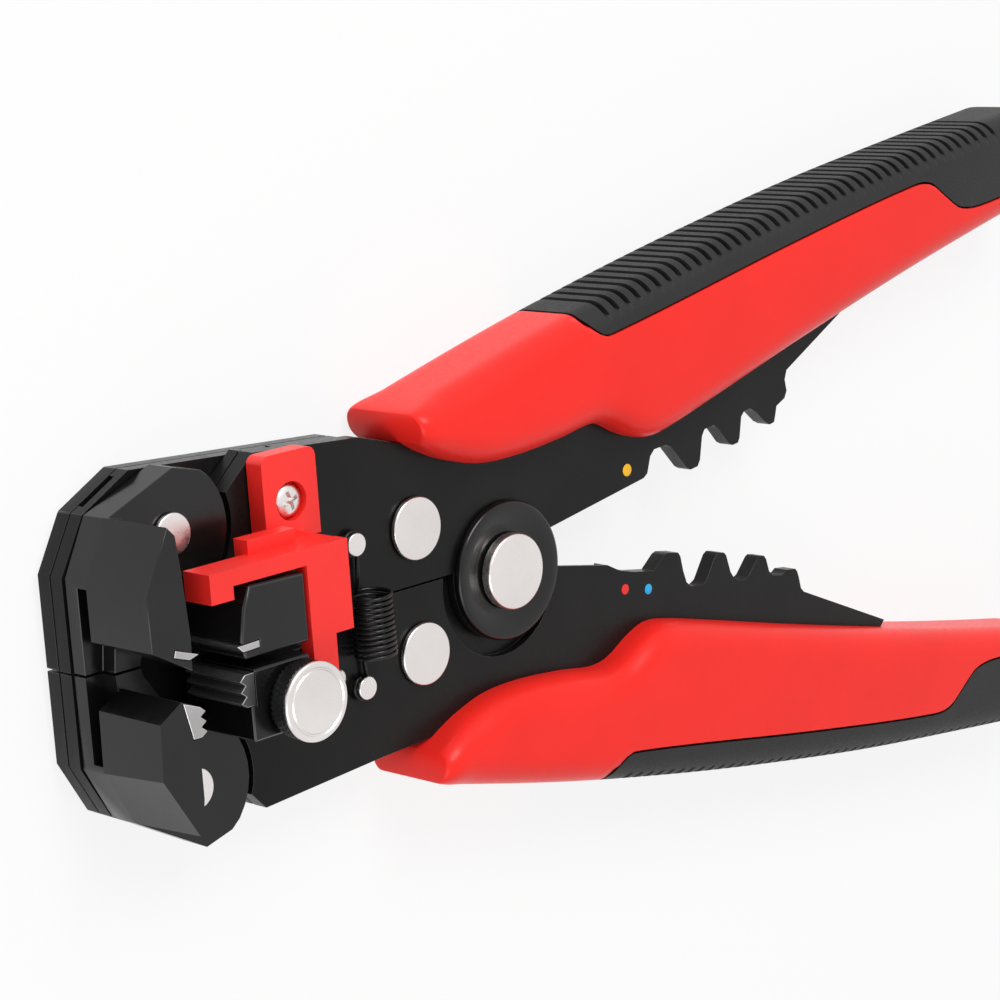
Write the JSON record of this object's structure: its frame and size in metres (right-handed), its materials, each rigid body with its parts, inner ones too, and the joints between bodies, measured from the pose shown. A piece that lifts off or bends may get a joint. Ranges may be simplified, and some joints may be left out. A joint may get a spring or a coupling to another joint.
{
  "type": "wire stripper crimping tool",
  "caption": "Self-adjusting wire stripper with swinging front jaws, sliding wire stop, thumb knob, wire-cutting edges, interleaving crimp dies and two-tone ribbed grips.",
  "frame": {"origin": "on the axis of the main pivot, at the flat back that the tool rests on", "axes": "+X from the pivot towards the handles, +Y towards the upper handle with the wire stop, +Z out of the face with the knob"},
  "size_m": [0.2085, 0.1074, 0.0273],
  "materials": {
    "black_steel": "glossy black oxide",
    "black_casting": "glossy black enamel",
    "ground_steel": "ground steel",
    "nickel": "satin nickel plate",
    "spring_steel": "blackened spring wire",
    "red_plastic": "bright red moulded plastic",
    "black_plastic": "knurled black",
    "black_rubber": "soft black rubber"
  },
  "bodies": {
    "lower_arm": {"lower_back_plate": "black_steel", "lower_inner_plate": "black_steel", "lower_spacer_plate": "black_steel", "lower_lever": "black_steel", "lower_grip_shell": "red_plastic", "lower_grip_pad": "black_rubber", "lower_arm_rivet": "nickel", "lower_spring_post": "nickel", "lower_jaw_pin": "nickel", "main_pivot_pin": "nickel", "pivot_collar": "black_casting", "lower_rear_block": "black_casting", "lower_rear_insert": "ground_steel", "adjuster_lock_screw": "nickel", "return_spring": "spring_steel"},
    "upper_arm": {"upper_back_plate": "black_steel", "upper_inner_plate": "black_steel", "upper_spacer_plate": "black_steel", "upper_lever": "black_steel", "upper_grip_shell": "red_plastic", "upper_grip_pad": "black_rubber", "upper_arm_rivet": "nickel", "upper_spring_post": "nickel", "upper_jaw_pin": "nickel", "upper_rear_block": "black_casting", "upper_rear_blade": "ground_steel"},
    "upper_front_jaw": {"upper_front_jaw": "black_casting", "upper_cutter_blade": "ground_steel"},
    "lower_front_jaw": {"lower_front_jaw": "black_casting", "lower_jaw_insert": "ground_steel"},
    "wire_stop": {"wire_stop": "red_plastic", "stop_screw": "nickel", "stop_nut": "nickel"},
    "adjuster_knob": {"adjuster_knob": "black_plastic", "knob_cap": "nickel"}
  },
  "joints": [
    {"name": "main_pivot", "type": "hinge", "parent": "lower_arm", "child": "upper_arm", "pos_m": [0, 0, 0], "axis": [0, 0, -1], "range_deg": [0, 21], "stiffness_Nm_per_rad": 0.8, "springref_deg": -17.19, "deforming": ["return_spring"]},
    {"name": "upper_jaw_pivot", "type": "hinge", "parent": "upper_arm", "child": "upper_front_jaw", "pos_m": [-0.0606, 0.0179, 0.008], "axis": [0, 0, 1], "range_deg": [0, 20]},
    {"name": "lower_jaw_pivot", "type": "hinge", "parent": "lower_arm", "child": "lower_front_jaw", "pos_m": [-0.0606, -0.0168, 0.008], "axis": [0, 0, -1], "range_deg": [0, 20]},
    {"name": "stop_slide", "type": "slide", "parent": "upper_arm", "child": "wire_stop", "axis": [0, 1, 0], "range_m": [0, 0.004]},
    {"name": "knob_turn", "type": "hinge", "parent": "lower_arm", "child": "adjuster_knob", "pos_m": [-0.0515, -0.0047, 0.024], "axis": [0, 0, 1], "range_deg": [-90, 90]}
  ],
  "couplings": [
    {"joint": "upper_jaw_pivot", "follows": "main_pivot", "ratio": 0.952},
    {"joint": "lower_jaw_pivot", "follows": "main_pivot", "ratio": 0.952}
  ]
}
